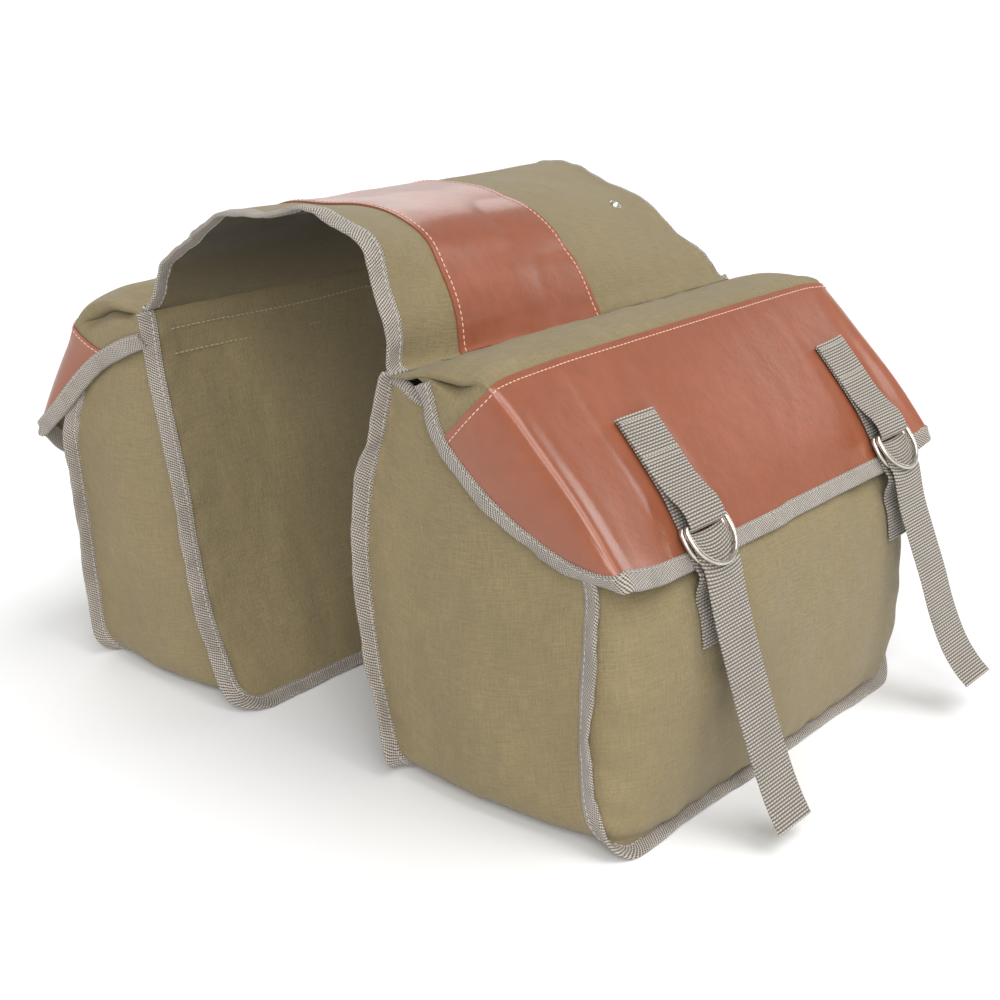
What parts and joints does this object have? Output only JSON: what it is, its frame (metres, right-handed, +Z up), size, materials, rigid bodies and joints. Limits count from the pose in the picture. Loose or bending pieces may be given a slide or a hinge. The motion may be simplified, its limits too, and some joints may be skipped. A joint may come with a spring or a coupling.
{
  "type": "saddle bag",
  "caption": "Throw-over canvas saddle bag: box pouches under leather flaps with strap closures, joined by a saddle sheet that arches over a rack.",
  "frame": {"origin": "middle of the whole bag at the level of the pouch bottoms", "axes": "+X to the right pouch, -Y to the front end, +Z up"},
  "size_m": [0.5812, 0.3628, 0.3352],
  "materials": {
    "canvas": "khaki woven canvas",
    "canvas_lining": "khaki woven canvas, inside",
    "leather": "smooth satin orange-brown leather",
    "binding_tape": "taupe twill tape",
    "webbing": "taupe ribbed webbing",
    "nickel": "bright nickel"
  },
  "bodies": {
    "saddle": {"saddle_panel": "canvas", "saddle_lining": "canvas_lining", "saddle_leather_patch": "leather", "saddle_binding_front": "binding_tape", "saddle_binding_rear": "binding_tape", "eyelet_right": "nickel", "eyelet_left": "nickel"},
    "pouch_right": {"back_panel_right": "canvas", "front_panel_right": "canvas", "gusset_right": "canvas", "back_seam_binding_right": "binding_tape", "front_seam_binding_right": "binding_tape", "mouth_binding_right": "binding_tape", "closure_strap_front_right": "webbing", "closure_strap_rear_right": "webbing"},
    "flap_right": {"flap_panel_right": "canvas", "flap_leather_right": "leather", "flap_binding_right": "binding_tape", "flap_strap_front_right": "webbing", "flap_strap_rear_right": "webbing"},
    "pouch_left": {"back_panel_left": "canvas", "front_panel_left": "canvas", "gusset_left": "canvas", "back_seam_binding_left": "binding_tape", "front_seam_binding_left": "binding_tape", "mouth_binding_left": "binding_tape", "closure_strap_front_left": "webbing", "closure_strap_rear_left": "webbing"},
    "flap_left": {"flap_panel_left": "canvas", "flap_leather_left": "leather", "flap_binding_left": "binding_tape", "flap_strap_front_left": "webbing", "flap_strap_rear_left": "webbing"},
    "ring_outer_front_right": {"d_ring_outer_front_right": "nickel"},
    "ring_inner_front_right": {"d_ring_inner_front_right": "nickel"},
    "ring_outer_rear_right": {"d_ring_outer_rear_right": "nickel"},
    "ring_inner_rear_right": {"d_ring_inner_rear_right": "nickel"},
    "ring_outer_front_left": {"d_ring_outer_front_left": "nickel"},
    "ring_inner_front_left": {"d_ring_inner_front_left": "nickel"},
    "ring_outer_rear_left": {"d_ring_outer_rear_left": "nickel"},
    "ring_inner_rear_left": {"d_ring_inner_rear_left": "nickel"}
  },
  "joints": [
    {"name": "pouch_right_swing", "type": "hinge", "parent": "saddle", "child": "pouch_right", "pos_m": [0.0647, 0, 0.2525], "axis": [0, -1, 0], "range_deg": [-10, 10]},
    {"name": "flap_right_open", "type": "hinge", "parent": "pouch_right", "child": "flap_right", "pos_m": [0.0647, 0, 0.2525], "axis": [0, -1, 0], "range_deg": [0, 70], "deforming": ["closure_strap_front_right", "closure_strap_rear_right"]},
    {"name": "pouch_left_swing", "type": "hinge", "parent": "saddle", "child": "pouch_left", "pos_m": [-0.1523, 0, 0.2585], "axis": [0, 1, 0], "range_deg": [-10, 10]},
    {"name": "flap_left_open", "type": "hinge", "parent": "pouch_left", "child": "flap_left", "pos_m": [-0.1523, 0, 0.2585], "axis": [0, 1, 0], "range_deg": [0, 70], "deforming": ["closure_strap_front_left", "closure_strap_rear_left"]},
    {"name": "ring_outer_front_right_turn", "type": "hinge", "parent": "flap_right", "child": "ring_outer_front_right", "pos_m": [0.21537, -0.089, 0.17787], "axis": [0, -1, 0], "range_deg": [0, 24], "deforming": ["closure_strap_front_right"]},
    {"name": "ring_inner_front_right_turn", "type": "hinge", "parent": "flap_right", "child": "ring_inner_front_right", "pos_m": [0.21244, -0.089, 0.17624], "axis": [0, -1, 0], "range_deg": [0, 12], "deforming": ["closure_strap_front_right"]},
    {"name": "ring_outer_rear_right_turn", "type": "hinge", "parent": "flap_right", "child": "ring_outer_rear_right", "pos_m": [0.21515, 0.134, 0.17804], "axis": [0, -1, 0], "range_deg": [0, 24], "deforming": ["closure_strap_rear_right"]},
    {"name": "ring_inner_rear_right_turn", "type": "hinge", "parent": "flap_right", "child": "ring_inner_rear_right", "pos_m": [0.21222, 0.134, 0.17641], "axis": [0, -1, 0], "range_deg": [0, 12], "deforming": ["closure_strap_rear_right"]},
    {"name": "ring_outer_front_left_turn", "type": "hinge", "parent": "flap_left", "child": "ring_outer_front_left", "pos_m": [-0.27349, -0.089, 0.18152], "axis": [0, 1, 0], "range_deg": [0, 24], "deforming": ["closure_strap_front_left"]},
    {"name": "ring_inner_front_left_turn", "type": "hinge", "parent": "flap_left", "child": "ring_inner_front_left", "pos_m": [-0.27038, -0.089, 0.18028], "axis": [0, 1, 0], "range_deg": [0, 12], "deforming": ["closure_strap_front_left"]},
    {"name": "ring_outer_rear_left_turn", "type": "hinge", "parent": "flap_left", "child": "ring_outer_rear_left", "pos_m": [-0.27339, 0.134, 0.18156], "axis": [0, 1, 0], "range_deg": [0, 24], "deforming": ["closure_strap_rear_left"]},
    {"name": "ring_inner_rear_left_turn", "type": "hinge", "parent": "flap_left", "child": "ring_inner_rear_left", "pos_m": [-0.27028, 0.134, 0.18031], "axis": [0, 1, 0], "range_deg": [0, 12], "deforming": ["closure_strap_rear_left"]}
  ],
  "couplings": [
    {"joint": "ring_inner_front_right_turn", "follows": "ring_outer_front_right_turn", "ratio": 0.5},
    {"joint": "ring_inner_rear_right_turn", "follows": "ring_outer_rear_right_turn", "ratio": 0.5},
    {"joint": "ring_inner_front_left_turn", "follows": "ring_outer_front_left_turn", "ratio": 0.5},
    {"joint": "ring_inner_rear_left_turn", "follows": "ring_outer_rear_left_turn", "ratio": 0.5}
  ]
}
